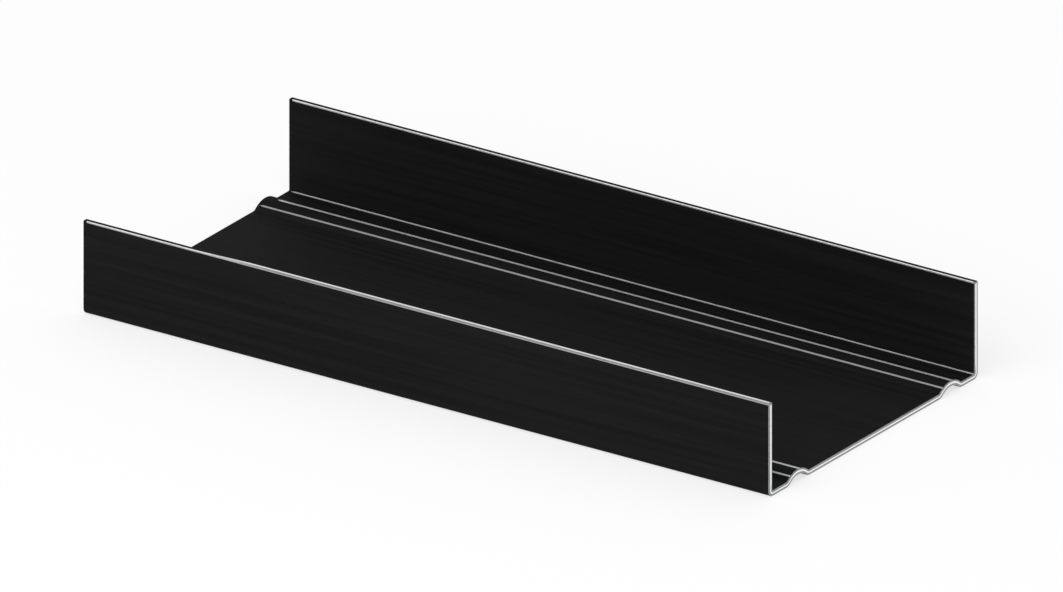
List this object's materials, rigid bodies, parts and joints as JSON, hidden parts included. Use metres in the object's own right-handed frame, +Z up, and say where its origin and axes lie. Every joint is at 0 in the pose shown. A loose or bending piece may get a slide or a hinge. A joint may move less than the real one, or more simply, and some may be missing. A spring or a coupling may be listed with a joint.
{
  "type": "drywall track",
  "caption": "Short length of roll-formed steel channel with a flat web, stiffening beads and upright legs. Fixed to a floor or ceiling, it holds the ends of wall studs in line.",
  "frame": {"origin": "under the middle of the web, at the bottom centre of the part's box", "axes": "+X along the track, +Y across it from the shorter leg to the taller leg, +Z up, the way the legs stand"},
  "size_m": [0.2064, 0.0922, 0.0262],
  "materials": {
    "coated_steel": "matt black coating, bare bright metal on the cut edges"
  },
  "bodies": {
    "root": {"drywall_track": "coated_steel"}
  },
  "joints": []
}
